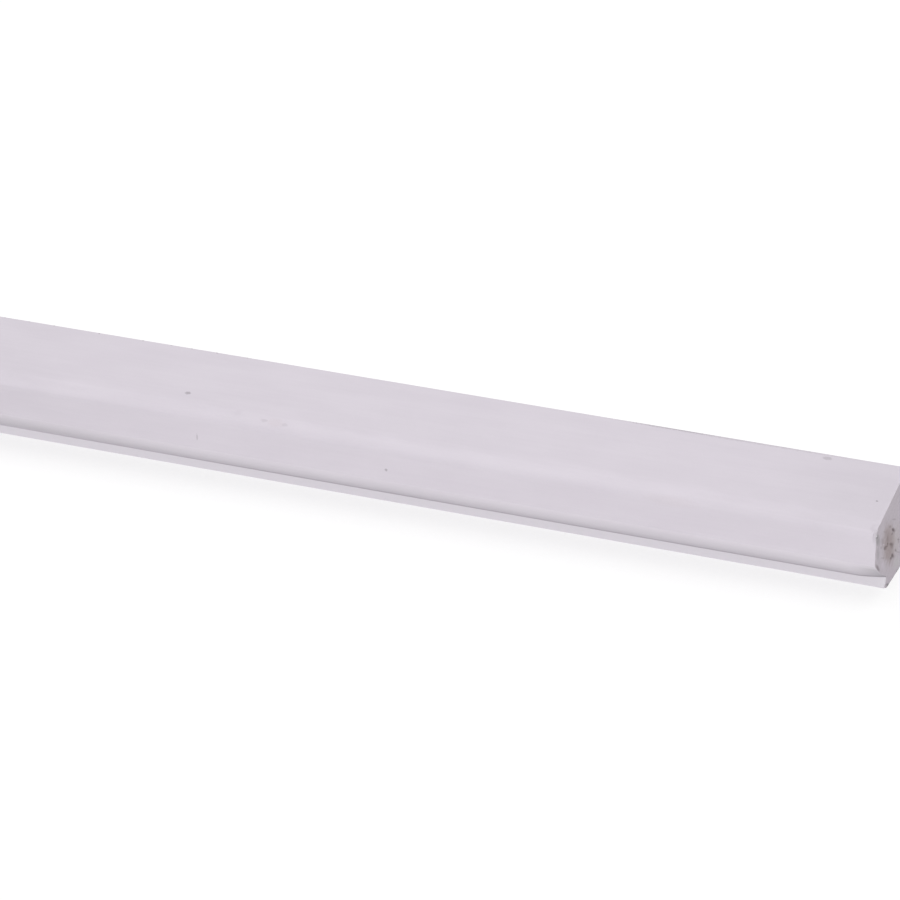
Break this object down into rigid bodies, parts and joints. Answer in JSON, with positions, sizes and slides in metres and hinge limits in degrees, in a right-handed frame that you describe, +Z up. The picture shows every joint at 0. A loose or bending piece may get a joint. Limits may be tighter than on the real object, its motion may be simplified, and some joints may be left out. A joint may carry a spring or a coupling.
{
  "type": "glazing bead",
  "caption": "Straight timber glazing bead with a sloping top, an upright nose undercut below and a set-back foot, primed white on its long faces and sawn square at the ends.",
  "frame": {"origin": "middle of the length and of the depth, at the level of the foot's underside", "axes": "+X along the bead, +Y towards the glass side, +Z up from the foot to the sloping top"},
  "size_m": [0.19, 0.02, 0.0199],
  "materials": {
    "primed_timber": "off-white primer with a slight lilac cast, satin to matt, on fine-grained hardwood that shows brown at the sawn ends"
  },
  "bodies": {
    "root": {"glazing_bead": "primed_timber"}
  },
  "joints": []
}
